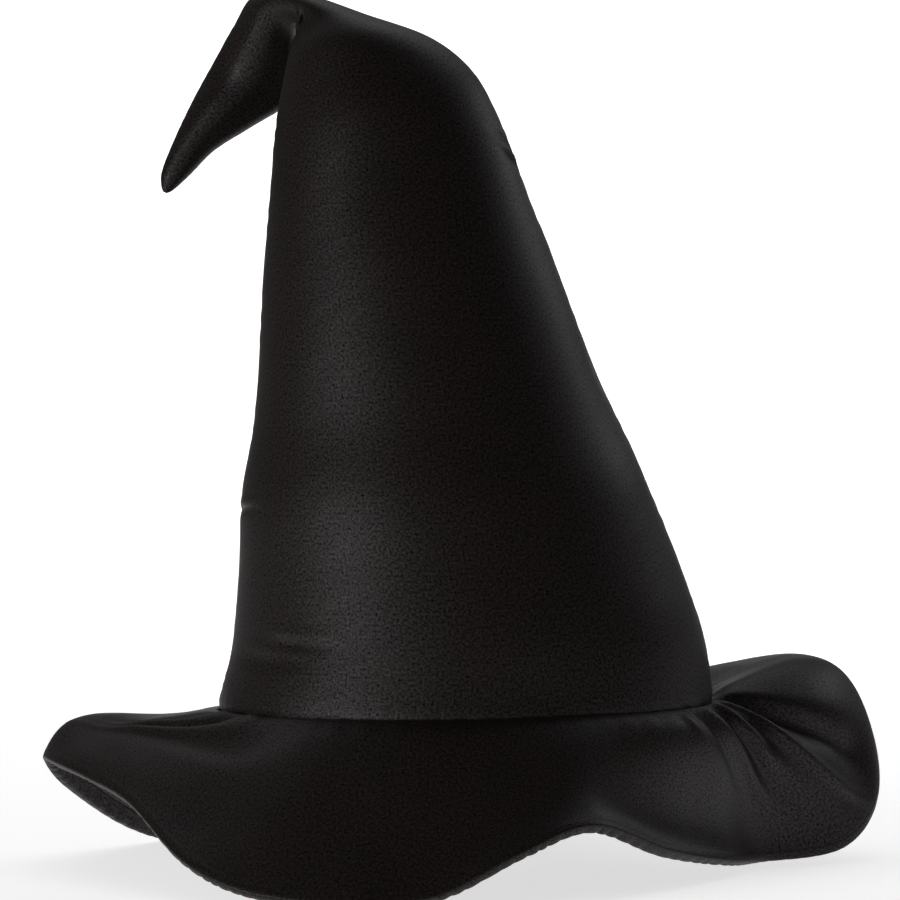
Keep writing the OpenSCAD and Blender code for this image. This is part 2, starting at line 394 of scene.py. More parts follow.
def two_tone(
    material: bpy.types.Material,
    low: str,
    high: str,
    pattern: bpy.types.NodeSocket,
    strength: float,
    relief_mm: float,
) -> dict[str, bpy.types.NodeSocket]:
    """Colours and embosses a material by one pattern.

    Args:
        material: the material.
        low: hex colour where the pattern is 0.
        high: hex colour where it is 1.
        pattern: the pattern's output.
        strength: share of the relief that shows.
        relief_mm: depth of the relief.

    Returns:
        The shader's incoming links.
    """
    colour = add_node(material, "ShaderNodeMix", {"data_type": "RGBA"},
        {"A": linear(low), "B": linear(high)}, {"Factor": pattern})
    bump = add_node(material, "ShaderNodeBump", values={"Strength": strength, "Distance": relief_mm * MM},
        links={"Height": pattern})
    return {"Base Color": colour.outputs["Result"], "Normal": bump.outputs["Normal"]}


@dataclass(frozen=True)
class NappedSatin:
    """Brushed polyester satin: a soft lustre, with a short nap that lights up at the rims.

    The thread pitch of such satin is about 0.15 mm, too fine to show, so the nap's
    grain is drawn at grain_mm.
    """

    name: str
    face: str
    worn: str
    roughness: float = 0.5
    specular: float = 0.24
    sheen: float = 0.015
    grain_mm: float = 1.1
    cloud_mm: float = 28.0
    relief_mm: float = 0.05

    def build(self) -> bpy.types.Material:
        """Makes the material."""
        material, shader = new_material(self.name)
        pattern = add_node(material, "ShaderNodeTexCoord").outputs["UV"]
        grain = add_node(material, "ShaderNodeTexNoise", values={
            "Scale": 1 / (self.grain_mm * MM), "Detail": 3.0, "Roughness": 0.6}, links={"Vector": pattern})
        cloud = add_node(material, "ShaderNodeTexNoise", values={
            "Scale": 1 / (self.cloud_mm * MM), "Detail": 2.0, "Roughness": 0.5}, links={"Vector": pattern})
        mixed = add_node(material, "ShaderNodeMath", {"operation": "MULTIPLY_ADD"}, {1: 0.5},
            {0: grain.outputs["Fac"], 2: cloud.outputs["Fac"]})
        colour = add_node(material, "ShaderNodeValToRGB", links={"Fac": mixed.outputs[0]})
        ramp = colour.color_ramp
        ramp.elements[0].position, ramp.elements[0].color = 0.45, linear(self.face)
        ramp.elements[1].position, ramp.elements[1].color = 1.05, linear(self.worn)
        rough = add_node(material, "ShaderNodeMapRange", values={
            "To Min": self.roughness - 0.07, "To Max": self.roughness + 0.09},
            links={"Value": grain.outputs["Fac"]})
        bump = add_node(material, "ShaderNodeBump", values={"Strength": 0.6, "Distance": self.relief_mm * MM},
            links={"Height": grain.outputs["Fac"]})
        glint = add_node(material, "ShaderNodeMapRange", values={
            "From Min": 0.3, "From Max": 0.7, "To Min": 0.0, "To Max": self.specular * 2},
            links={"Value": grain.outputs["Fac"]})
        fill_sockets(
            material, shader,
            {"Sheen Weight": self.sheen, "Sheen Roughness": 0.3, "Sheen Tint": linear("#d8d2ce")},
            {"Specular IOR Level": glint.outputs["Result"], "Base Color": colour.outputs["Color"],
             "Roughness": rough.outputs["Result"], "Normal": bump.outputs["Normal"]})
        return material


@dataclass(frozen=True)
class PlainWeave:
    """A plain woven cloth or ribbed ribbon: matte, with crossing threads."""

    name: str
    thread: str
    gap: str
    warp_mm: float
    weft_mm: float
    roughness: float = 0.8
    relief_mm: float = 0.15

    def build(self) -> bpy.types.Material:
        """Makes the material."""
        material, shader = new_material(self.name)
        pattern = add_node(material, "ShaderNodeTexCoord").outputs["UV"]
        waves = []
        for direction, pitch in (("X", self.warp_mm), ("Y", self.weft_mm)):
            waves.append(add_node(material, "ShaderNodeTexWave",
                {"wave_type": "BANDS", "bands_direction": direction},
                {"Scale": 2 * math.pi / 20 / (pitch * MM), "Distortion": 0.3, "Detail": 1.0},
                {"Vector": pattern}))
        weave = add_node(material, "ShaderNodeMath", {"operation": "MAXIMUM"}, None,
            {0: waves[0].outputs["Fac"], 1: waves[1].outputs["Fac"]})
        fill_sockets(material, shader, {"Roughness": self.roughness, "Sheen Weight": 0.15},
                     two_tone(material, self.gap, self.thread, weave.outputs[0], 0.6, self.relief_mm))
        return material


@dataclass(frozen=True)
class OpenFoam:
    """Cut polyurethane foam: matte, with open cells of about 1 mm."""

    name: str = "polyurethane foam, cut"
    wall: str = "#4a4a4d"
    pore: str = "#232325"
    cell_mm: float = 1.2
    relief_mm: float = 0.3

    def build(self) -> bpy.types.Material:
        """Makes the material."""
        material, shader = new_material(self.name)
        place = add_node(material, "ShaderNodeTexCoord").outputs["Object"]
        cells = add_node(material, "ShaderNodeTexVoronoi", values={"Scale": 1 / (self.cell_mm * MM)},
            links={"Vector": place})
        fill_sockets(material, shader, {"Roughness": 0.95},
                     two_tone(material, self.pore, self.wall, cells.outputs["Distance"], 0.8, self.relief_mm))
        return material


@dataclass(frozen=True)
class TwistedThread:
    """Spun polyester sewing thread: a slight lustre, with its plies' twist."""

    name: str = "spun polyester thread"
    ply: str = "#1a1717"
    valley: str = "#080707"
    twist_mm: float = 0.9
    relief_mm: float = 0.05

    def build(self) -> bpy.types.Material:
        """Makes the material."""
        material, shader = new_material(self.name)
        place = add_node(material, "ShaderNodeTexCoord").outputs["Object"]
        twist = add_node(material, "ShaderNodeTexWave",
            {"wave_type": "BANDS", "bands_direction": "DIAGONAL"},
            {"Scale": 2 * math.pi / 20 / (self.twist_mm * MM), "Distortion": 0.5}, {"Vector": place})
        fill_sockets(material, shader, {"Roughness": 0.55},
                     two_tone(material, self.valley, self.ply, twist.outputs["Fac"], 0.5, self.relief_mm))
        return material


@dataclass(frozen=True)
class DrawnSteel:
    """Bright drawn steel wire: long fine scratches along it."""

    name: str = "drawn steel wire"
    bright: str = "#b9babc"
    scratch_mm: float = 0.4

    def build(self) -> bpy.types.Material:
        """Makes the material."""
        material, shader = new_material(self.name)
        place = add_node(material, "ShaderNodeTexCoord").outputs["Object"]
        scratches = add_node(material, "ShaderNodeTexNoise", values={
            "Scale": 1 / (self.scratch_mm * MM), "Detail": 2.0}, links={"Vector": place})
        rough = add_node(material, "ShaderNodeMapRange", values={"To Min": 0.22, "To Max": 0.42},
            links={"Value": scratches.outputs["Fac"]})
        fill_sockets(material, shader, {"Base Color": linear(self.bright), "Metallic": 1.0},
                     {"Roughness": rough.outputs["Result"]})
        return material


class Finish(Enum):
    """The finishes of the hat, each named for the record's slot that it dresses."""

    OUTER = "outer_satin"
    UNDER = "under_satin"
    FOAM = "foam"
    LINING = "lining"
    THREAD = "thread"
    WIRE = "wire"
    RIBBON = "ribbon"
    LABEL = "label"


class Wardrobe:
    """All the hat's materials, built once."""

    def __init__(self) -> None:
        """Builds each finish."""
        recipes = {
            Finish.OUTER: NappedSatin("brushed satin, black face", "#0c0504", "#130908"),
            Finish.UNDER: NappedSatin("brushed satin, smooth back", "#1c1312", "#2a2221", 0.4, 0.4),
            Finish.FOAM: OpenFoam(),
            Finish.LINING: PlainWeave("plain woven polyester lining", "#1d1b1d", "#0a090a", 0.9, 0.9),
            Finish.THREAD: TwistedThread(),
            Finish.WIRE: DrawnSteel(),
            Finish.RIBBON: PlainWeave("grosgrain ribbon, ribbed", "#181516", "#060505", 1.3, 9.0, 0.6, 0.3),
            Finish.LABEL: PlainWeave("label satin, blank", "#e2dfd6", "#cbc7bc", 0.7, 0.7, 0.6, 0.05),
        }
        self.materials = {finish: recipe.build() for finish, recipe in recipes.items()}

    def dress(self, piece: bpy.types.Object, finish: Finish) -> bpy.types.Object:
        """Gives the piece its finish."""
        piece.data.materials.clear()
        piece.data.materials.append(self.materials[finish])
        return piece

    def dress_node(self, node: str, finish: Finish) -> None:
        """Gives a frame node a better material, leaving its mesh alone."""
        for slot in frame["nodes"][node].material_slots:
            slot.material = self.materials[finish]


# ---------- forms ----------

@dataclass(frozen=True)
class Relief:
    """A raised or sunk line on the crown's cloth.

    Attributes:
        station: where its middle lies along the crown.
        bearing: where its middle lies round the crown, in degrees.
        reach: half its length round the crown, in degrees.
        width: half its width, in stations.
        height: how far it stands out, in millimetres; below 0 it is a hollow.
        slope: stations that it climbs for each degree round.
    """

    station: float
    bearing: float
    reach: float
    width: float
    height: float
    slope: float = 0.0

    def at(self, station: np.ndarray, bearing: np.ndarray) -> np.ndarray:
        """The relief's height at each point."""
        turn = (bearing - self.bearing + 180) % 360 - 180
        off = station - self.station - self.slope * turn
        return self.height * hump(off, self.width, self.width) * hump(turn, self.reach, self.reach)


@dataclass
class CrownForm:
    """The crown's outer face, from the headline over the fold to the tip's end.

    Each station is a section: the edge on the fold's inner side x and z, the edge on
    its outer side x and z, the middle in y, and half of its depth, in millimetres.
    Bearing 0 is the outer side, 90 the back and 270 the front.
    """

    stations: tuple[tuple[float, ...], ...] = (
        (-104, -1.5, 104, -1.5, 0, 104),
        (-102, 8, 104.5, 10, 0, 103),
        (-98, 28, 102, 33, 0, 100),
        (-95.5, 60, 92.5, 60, 0, 94),
        (-94.5, 90, 80.5, 92, 0, 87),
        (-89.5, 120, 66.5, 122, 0, 78),
        (-87, 155, 52.5, 155, 0, 70),
        (-84.5, 190, 39, 190, 0, 62),
        (-82.5, 222, 27, 222, 0, 54),
        (-79.5, 250, 16, 250, 0, 47),
        (-76.5, 270, 5, 271, 2, 41),
        (-74, 281, -13, 286, 5, 36),
        (-72, 289, -40, 296.5, 11, 30),
        (-72, 293.5, -69, 307, 19, 25),
        (-73, 289, -90.5, 308, 30, 20),
        (-73.5, 277, -100.5, 295.5, 37, 17),
        (-76, 263, -110.5, 279, 43, 14),
        (-93, 251.5, -119, 263, 43, 12),
        (-108.5, 241.5, -126, 247.5, 42, 9),
        (-119.5, 230.5, -131.5, 233, 41, 6),
        (-126.5, 224, -132, 226.5, 40, 3),
        (-129.5, 222.5, -131, 223.2, 39, 0.6),
    )
    smallest: float = 0.15
    station_mm: float = 28.0
    reliefs: tuple[Relief, ...] = (
        Relief(2.22, 226, 8, 0.06, 0.5, -0.004),
        Relief(2.08, 224, 9, 0.09, -1.1, -0.004),
        Relief(1.80, 216, 12, 0.16, -0.9),
        Relief(3.84, 190, 14, 0.05, -0.9, 0.001),
        Relief(3.95, 192, 12, 0.07, 0.4, 0.001),
        Relief(8.35, 346, 12, 0.05, -1.4, -0.01),
        Relief(8.66, 346, 12, 0.06, -1.1, -0.012),
        Relief(8.5, 347, 11, 0.05, 0.7, -0.011),
        Relief(7.3, 352, 12, 0.25, 0.6),
        Relief(5.6, 352, 14, 0.3, -0.5),
        Relief(12.35, 222, 26, 0.09, -2.2, 0.012),
        Relief(12.6, 226, 26, 0.08, 1.6, 0.012),
        Relief(12.85, 232, 26, 0.07, -2.2, 0.012),
        Relief(15.6, 330, 30, 2.0, -1.4),
        Relief(15.4, 284, 20, 2.0, 1.3, -0.02),
        Relief(15.8, 232, 24, 2.0, -2.4),
    )

    def section(self, station: np.ndarray) -> np.ndarray:
        """The section at each station, between the ones listed."""
        return through(self.stations, station)

    def seam_pucker(self, station: np.ndarray, bearing: np.ndarray) -> np.ndarray:
        """The side seams' groove, and the small puckers that the thread pulls in."""
        off = np.abs(np.sin(np.radians(bearing))) * self.section(station)[..., 5]
        full = 0.05 + 0.1 * ease((11 - station) / 2)
        pucker = full * np.sin(station * 13 + 3 * np.sin(station * 5)) * np.exp(-np.square(off / 6))
        groove = 0.15 + 0.35 * ease((12 - station) / 3)
        return pucker - groove * np.exp(-np.square(off / 0.9))

    def relief(self, station: np.ndarray, bearing: np.ndarray) -> np.ndarray:
        """How far the cloth stands off the smooth form, in millimetres."""
        total = sum(r.at(station, bearing) for r in self.reliefs)
        round_mm = np.radians(bearing) * self.section(station)[..., 5]
        along_mm = station * self.station_mm
        fade = 0.25 + 0.75 * ease((12 - station) / 3)
        total = total + 0.4 * fade * soft_noise(round_mm, along_mm, 70, 1)
        total = total + 0.05 * fade * soft_noise(round_mm, along_mm, 18, 2)
        gather = 0.12 * np.sin(np.radians(bearing) * 58 + 2 * np.sin(np.radians(bearing) * 7))
        total = total + gather * hump(station - 0.45, 0.3, 0.5)
        return total + self.seam_pucker(station, bearing)

    def seam_turn(self, station: np.ndarray) -> np.ndarray:
        """The roll of the cloth into the headline seam, in millimetres."""
        return 1.1 * hump(station - 0.75, 0.35, 0.9) - 0.9 * ease((0.35 - station) / 0.35)

    def place(self, station: np.ndarray, bearing: np.ndarray, depth: float | np.ndarray,
              relief: float = 1.0) -> np.ndarray:
        """Points on the form.

        Args:
            station: place along the crown.
            bearing: place round it, in degrees.
            depth: distance inside the outer face, in millimetres.
            relief: share of the cloth's relief that shows here.

        Returns:
            Rows of x, y, z in millimetres.
        """
        s = self.section(station)
        middle = (s[..., 0:2] + s[..., 2:4]) / 2
        reach = (s[..., 2:4] - s[..., 0:2]) / 2
        size = np.linalg.norm(reach, axis=-1)
        stand = relief * (self.relief(station, bearing) + self.seam_turn(station))
        tight = np.minimum(1, size / 10)
        lift = stand * tight - depth
        wide = np.maximum(self.smallest, size + lift)
        deep = np.maximum(self.smallest, s[..., 5] + lift)
        angle = np.radians(bearing)
        direction = reach / np.maximum(size, 1e-9)[..., None]
        in_plane = middle + direction * (wide * np.cos(angle))[..., None]
        return np.stack([in_plane[..., 0], s[..., 4] + deep * np.sin(angle), in_plane[..., 1]], axis=-1)

    def lengths(self, steps: int = 400) -> tuple[np.ndarray, np.ndarray, np.ndarray]:
        """The form measured: stations, distance along the front, and half the girth at each."""
        station = np.linspace(0, len(self.stations) - 1, steps)
        front = self.place(station, np.full(steps, 270.0), 0.0, 0.0)
        run = run_along(front)
        s = self.section(station)
        wide = np.linalg.norm(s[:, 2:4] - s[:, 0:2], axis=1) / 2
        deep = s[:, 5]
        girth = math.pi * (3 * (wide + deep) - np.sqrt((3 * wide + deep) * (wide + 3 * deep))) / 2
        return station, run, girth


@dataclass(frozen=True)
class Pleat:
    """A fold in the brim that runs out from the headline.

    Attributes:
        line: the brim station that it starts on.
        bend: stations that it drifts by the time it reaches the edge.
        rise: its half-width on the clockwise side, in stations.
        fall: its half-width on the anticlockwise side, in stations.
        height: how far it stands up, in millimetres; below 0 it is a valley.
        start: share of the brim's width where it is half grown.
        fade: share of the width where it has died away.
        curl: power of the share that the drift follows; above 1 it drifts mostly near the edge.
    """

    line: float
    bend: float
    rise: float
    fall: float
    height: float
    start: float = 0.06
    fade: float = 0.9
    curl: float = 1.0

    def at(self, station: np.ndarray, share: np.ndarray, count: int) -> np.ndarray:
        """The pleat's height at each point."""
        off = (station - self.line - self.bend * share**self.curl + count / 2) % count - count / 2
        grown = ease(share / (2 * self.start)) * (1 - ease((share - self.fade + 0.35) / 0.35))
        return self.height * hump(off, self.rise, self.fall) * grown


@dataclass
class BrimForm:
    """The brim's middle surface, from the headline to the cut edge.

    Each station is a line out across the brim: its bearing on the headline, the edge
    point x, y, z in millimetres, and the angles above level at which the cloth leaves
    the headline and reaches the edge. They run anticlockwise, seen from above.
    """

    stations: tuple[tuple[float, ...], ...] = (
        (1, 179, 36.5, -39, -5, -86),
        (6, 178.5, 64.5, -12, 20, -74),
        (14, 169.5, 79.5, -1.5, 23, -71),
        (27, 150.5, 99.5, 1.5, 22, -55),
        (42, 127, 116, -5.5, 18, -47),
        (58, 96, 128, -24, 8, -50),
        (74, 60, 142, -48, -15, -55),
        (90, 15, 150, -63.5, -30, -45),
        (108, -38, 148, -58, -28, -40),
        (124, -82, 135, -54, -22, -45),
        (140, -125.5, 110, -63.5, -22, -60),
        (154, -148, 81.5, -56.5, -18, -77),
        (166, -172, 45, -35, -22, -82),
        (176, -178.5, 21, -21.5, -25, -69),
        (184, -170, -13, -21, -19, -45),
        (196, -154, -43, -24.5, -13, -47),
        (210, -133.5, -76.5, -32, -20, -42),
        (226, -109, -119, -51, -32, -42),
        (240, -84, -141, -60.5, -38, -48),
        (254, -48, -153, -63.5, -42, -50),
        (268, -12, -153, -61, -40, -50),
        (282, 22, -146, -45, -32, -40),
        (296, 49.5, -130, -36.5, -25, -30),
        (312, 80, -92, -50, -28, -40),
        (328, 108.5, -47, -58.5, -26, -60),
        (342, 126.5, -8.5, -61.5, -22, -75),
        (353, 162, 13.5, -58, -15, -85),
    )
    headline_r: float = 104.6
    headline_z: float = 1.0
    headline_lift: float = 1.5
    fullness: float = 1.15
    seam_squeeze: float = 0.7
    root: float = 0.2
    pleats: tuple[Pleat, ...] = (
        Pleat(27.05, 0.0, 0.22, 0.9, 3.0, 0.05, 0.8),
        Pleat(26.5, 0.4, 0.42, 0.36, -6.0, 0.10, 1.05),
        Pleat(25.88, 0.9, 0.08, 0.12, 2.0, 0.04, 1.05, 4.0),
        Pleat(25.55, 0.5, 0.12, 0.12, -1.4, 0.05, 0.7, 2.0),
        Pleat(25.22, 0.2, 0.10, 0.12, 2.2, 0.04, 0.72),
        Pleat(24.86, 0.7, 0.16, 0.14, -2.4, 0.05, 0.8),
        Pleat(24.35, 1.1, 0.14, 0.13, 2.0, 0.05, 0.9),
        Pleat(24.0, 1.0, 0.12, 0.12, -1.3, 0.05, 0.7),
        Pleat(23.7, 0.9, 0.10, 0.1, 0.8, 0.05, 0.5),
        Pleat(15.2, -4.0, 0.16, 0.16, -1.0, 0.05, 0.7, 2.0),
        Pleat(15.75, -4.5, 0.14, 0.18, 2.0, 0.05, 0.75, 2.0),
        Pleat(16.12, -5.0, 0.14, 0.14, -2.2, 0.05, 0.8, 2.0),
        Pleat(16.5, -5.4, 0.22, 0.3, 2.4, 0.05, 0.85, 2.0),
        Pleat(17.3, -5.0, 0.4, 0.4, -1.2, 0.06, 0.7, 2.0),
    )

    @property
    def count(self) -> int:
        """The number of stations."""
        return len(self.stations)

    def line(self, station: np.ndarray) -> np.ndarray:
        """The line across the brim at each station, between the ones listed."""
        table = np.array(self.stations, float)
        whole = np.floor(station).astype(int)
        rows = []
        for k in (-1, 0, 1, 2):
            row = table[(whole + k) % self.count].copy()
            row[..., 0] += 360 * ((whole + k) // self.count)
            rows.append(row)
        return spline(*rows, (station - whole)[..., None])

    def middle(self, station: np.ndarray, share: np.ndarray) -> np.ndarray:
        """Points on the smooth middle surface, in millimetres.

        Args:
            station: place round the brim.
            share: place from the headline, 0, to the edge, 1.

        Returns:
            Rows of x, y, z in millimetres.
        """
        s = self.line(station)
        turn, leave, reach = (np.radians(s[..., k]) for k in (0, 4, 5))
        lift = self.headline_z + self.headline_lift * (np.cos(turn) - np.sin(turn))
        start = np.stack([self.headline_r * np.cos(turn), self.headline_r * np.sin(turn), lift], axis=-1)
        finish = s[..., 1:4]
        pull = np.linalg.norm(finish - start, axis=-1, keepdims=True) * self.fullness
        out = np.stack([np.cos(turn), np.sin(turn)], axis=-1)
        out_start = np.concatenate([out * np.cos(leave)[..., None], np.sin(leave)[..., None]], axis=-1)
        away = unit(finish[..., 0:2])
        out_finish = np.concatenate([away * np.cos(reach)[..., None], np.sin(reach)[..., None]], axis=-1)
        v = share[..., None]
        w, c = v * v, v * v * v
        return (start * (2 * c - 3 * w + 1) + out_start * pull * (c - 2 * w + v)
                + finish * (3 * w - 2 * c) + out_finish * pull * (c - w))

    def axes(self, station: np.ndarray, share: np.ndarray) -> tuple[np.ndarray, np.ndarray, np.ndarray]:
        """Directions along the edge, outward and up, at each point.

        Args:
            station: place round the brim.
            share: place from the headline, 0, to the edge, 1.

        Returns:
            The three directions, each a row of length 1.
        """
        step = 0.01
        along = unit(self.middle(station + step, share) - self.middle(station - step, share))
        near, far = np.maximum(share - step, 0), np.minimum(share + step, 1)
        outward = unit(self.middle(station, far) - self.middle(station, near))
        upward = unit(np.cross(outward, along))
        return along, unit(np.cross(along, upward)), upward

    def relief(self, station: np.ndarray, share: np.ndarray) -> np.ndarray:
        """How far the cloth stands off the smooth surface, in millimetres."""
        total = sum(p.at(station, share, self.count) for p in self.pleats)
        points = self.middle(station, share)
        calm = ease(share / 0.15) * (1 - ease((share - 0.8) / 0.2))
        total = total + 0.6 * calm * soft_noise(points[..., 0], points[..., 1], 60, 3)
        total = total + 0.06 * calm * soft_noise(points[..., 0], points[..., 1], 16, 4)
        turn = self.line(station)[..., 0]
        ease_in = 0.12 * np.sin(np.radians(turn) * 61 + 2 * np.sin(np.radians(turn) * 5))
        return total + ease_in * hump(share - 0.06, 0.06, 0.09)

    def place(self, station: np.ndarray, share: np.ndarray, height: float | np.ndarray) -> np.ndarray:
        """Points on a layer of the brim.

        Args:
            station: place round the brim.
            share: place from the headline, 0, to the edge, 1.
            height: distance above the middle surface, in millimetres.

        Returns:
            Rows of x, y, z in millimetres.
        """
        upward = self.axes(station, share)[2]
        blend = ease(share / self.root)[..., None]
        rise = unit(np.array([0, 0, 1.0]) * (1 - blend) + upward * blend)
        squeeze = 1 - self.seam_squeeze * np.exp(-np.square(share / 0.07))
        stand = self.relief(station, share) + height * squeeze
        return self.middle(station, share) + rise * stand[..., None]

    def beside_edge(self, station: np.ndarray, out: np.ndarray, up: np.ndarray) -> np.ndarray:
        """Points by the cut edge: out past it, or back on the brim where out is negative.

        Args:
            station: place round the brim.
            out: distance out past the edge, in millimetres.
            up: height above the middle surface, in millimetres.

        Returns:
            Rows of x, y, z in millimetres.
        """
        one = np.ones_like(station)
        outward, upward = self.axes(station, one)[1:]
        width = np.linalg.norm(self.middle(station, one) - self.middle(station, one * 0.9), axis=-1) / 0.1
        back = np.minimum(out, 0) / width
        on_brim = self.place(station, 1 + back, up)
        return on_brim + outward * np.maximum(out, 0)[..., None]

    def lengths(self, steps: int = 720) -> tuple[np.ndarray, np.ndarray, np.ndarray]:
        """The form measured: stations, distance round the edge, and width at each."""
        station = np.linspace(0, self.count, steps)
        edge = self.middle(station, np.ones(steps))
        run = run_along(edge)
        shares = np.linspace(0, 1, 24)
        lines = self.middle(np.repeat(station[:, None], 24, 1), np.repeat(shares[None], steps, 0))
        width = np.linalg.norm(np.diff(lines, axis=1), axis=2).sum(axis=1)
        return station, run, width


# ---------- sub-assemblies ----------

@dataclass
class FoldLine:
    """Where the cloth bends over from the crown's body to the tip's.

    The hinge is the frame's own joint. Kept here are the direction that parts the hanging tip
    from the crown's side, and how far past the hinge the cloth's turn would start and end; the turn itself is
    not applied.
    """

    direction: tuple[float, float, float] = (-0.972, 0.2, 0.1225)
    starts_mm: float = 0.7
    ends_mm: float = 3.3

    def bend(self, piece: bpy.types.Object) -> None:
        """Bakes the piece's placement into its mesh; the fold joint is read, but the piece is not bent."""
        joint = next(j for j in frame["joints"] if j["name"] == "tip_fold")
        hinge, way = Vector(joint["pos_m"]), Vector(self.direction)
        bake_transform(piece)


@dataclass
class CrownPanel:
    """One half of the crown and tip: its satin, its foam and its lining."""

    side: str
    first_bearing: float
    form: CrownForm
    wardrobe: Wardrobe
    satin_t: float = 0.8
    foam_t: float = 2.8
    lining_t: float = 0.5
    gap: float = 0.1
    seam_gap: float = 0.02
    foam_slot: float = 0.9
    fold_station: float = 13.0

    def bearing(self, station: np.ndarray, across: np.ndarray, gap: float) -> np.ndarray:
        """The bearing at a share across the half, kept a gap from the seams.

        Args:
            station: place along the crown.
            across: share of the way across the half.
            gap: distance kept from each seam, in millimetres.

        Returns:
            The bearing in degrees.
        """
        edge = np.degrees(np.arcsin(np.minimum(0.5, gap / self.form.section(station)[..., 5])))
        return self.first_bearing + edge + (180 - 2 * edge) * across

    def flat(self, station: np.ndarray, across: np.ndarray) -> np.ndarray:
        """The flat pattern's own place for each point, in millimetres."""
        stations, run, girth = self.form.lengths()
        return np.stack([(across - 0.5) * np.interp(station, stations, girth),
                         np.interp(station, stations, run)], axis=-1)

    def layer(self, name: str, columns: int, rows: int, span: tuple[float, float],
              depth: float, gap: float, relief: float) -> bpy.types.Object:
        """One layer of the half, as a single sheet laid on the form.

        Args:
            name: the layer's name.
            columns: faces across.
            rows: faces along.
            span: its first and last stations.
            depth: distance inside the outer face, in millimetres.
            gap: distance kept from each seam, in millimetres.
            relief: share of the cloth's relief that it follows.

        Returns:
            The layer, without thickness.
        """
        def station(along: np.ndarray) -> np.ndarray:
            """The station at a share along the layer."""
            return span[0] + (span[1] - span[0]) * along

        def place(across: np.ndarray, along: np.ndarray) -> np.ndarray:
            """Each grid point's place."""
            at = station(along)
            return self.form.place(at, self.bearing(at, across, gap), depth, relief)

        return cloth_sheet(name, columns, rows, place, lambda a, b: self.flat(station(b), a))

    def satin(self, fold: FoldLine) -> bpy.types.Object:
        """The outer satin, whole from the headline to the tip's end.

        Args:
            fold: where it bends over.

        Returns:
            The satin.
        """
        last = len(self.form.stations) - 1
        piece = self.layer(f"crown_{self.side}_satin", 118, 400, (0.0, last), 0.0, self.seam_gap, 1.0)
        thicken(piece, self.satin_t, -1)
        self.wardrobe.dress(piece, Finish.OUTER)
        stations, run, girth = self.form.lengths()
        area = area_under(girth, run) * MM * MM
        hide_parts(f"crown_{self.side}_panel", f"tip_{self.side}_panel")
        fold.bend(piece)
        return piece

    def foam(self) -> bpy.types.Object:
        """The foam backing, up to the fold."""
        top = self.fold_station - 0.3
        piece = self.layer(f"crown_{self.side}_foam_pad", 60, 130, (0.05, top),
                           self.satin_t + self.gap, self.foam_slot, 1.0)
        thicken(piece, self.foam_t, -1)
        self.wardrobe.dress(piece, Finish.FOAM)
        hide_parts(f"crown_{self.side}_foam")
        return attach(piece, "crown")

    def lining(self) -> bpy.types.Object:
        """The lining, seen from below."""
        depth = self.satin_t + self.foam_t + 2 * self.gap
        top = self.fold_station - 0.3
        piece = self.layer(f"crown_{self.side}_lining_cloth", 90, 180, (0.0, top), depth, 0.1, 0.9)
        thicken(piece, self.lining_t, -1)
        self.wardrobe.dress(piece, Finish.LINING)
        stations, run, girth = self.form.lengths()
        sewn = stations <= top
        area = area_under(girth[sewn], run[sewn]) * MM * MM
        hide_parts(f"crown_{self.side}_lining")
        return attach(piece, "crown")


@dataclass
class Tip:
    """The wadding that keeps the hanging tip plump."""

    form: CrownForm
    wardrobe: Wardrobe
    first: float = 13.9
    last: float = 19.8
    depth: float = 1.1
    girth: float = 100.0
    length: float = 90.0

    def wadding(self) -> bpy.types.Object:
        """A closed pad inside the tip's satin."""
        def place(across: np.ndarray, along: np.ndarray) -> np.ndarray:
            """Each grid point's place."""
            at = self.first + (self.last - self.first) * along
            sink = self.depth + 4 * (1 - ease(along / 0.12)) + 2 * ease((along - 0.93) / 0.07)
            return self.form.place(at, across * 360, sink, 1.0)

        def flat(across: np.ndarray, along: np.ndarray) -> np.ndarray:
            """Each grid point's place on the flat cloth."""
            return np.stack([across * self.girth, along * self.length], axis=-1)

        piece = cloth_sheet("tip_wadding", 48, 60, place, flat)
        close_ring(piece)
        only(piece)
        bpy.ops.object.mode_set(mode="EDIT")
        bpy.ops.mesh.select_all(action="DESELECT")
        bpy.ops.mesh.select_mode(type="EDGE")
        bpy.ops.mesh.select_non_manifold()
        bpy.ops.mesh.fill_holes(sides=0)
        bpy.ops.mesh.select_all(action="SELECT")
        bpy.ops.mesh.normals_make_consistent(inside=False)
        bpy.ops.object.mode_set(mode="OBJECT")
        smooth(piece)
        self.wardrobe.dress(piece, Finish.FOAM)
        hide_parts("tip_filling")
        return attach(piece, "tip")


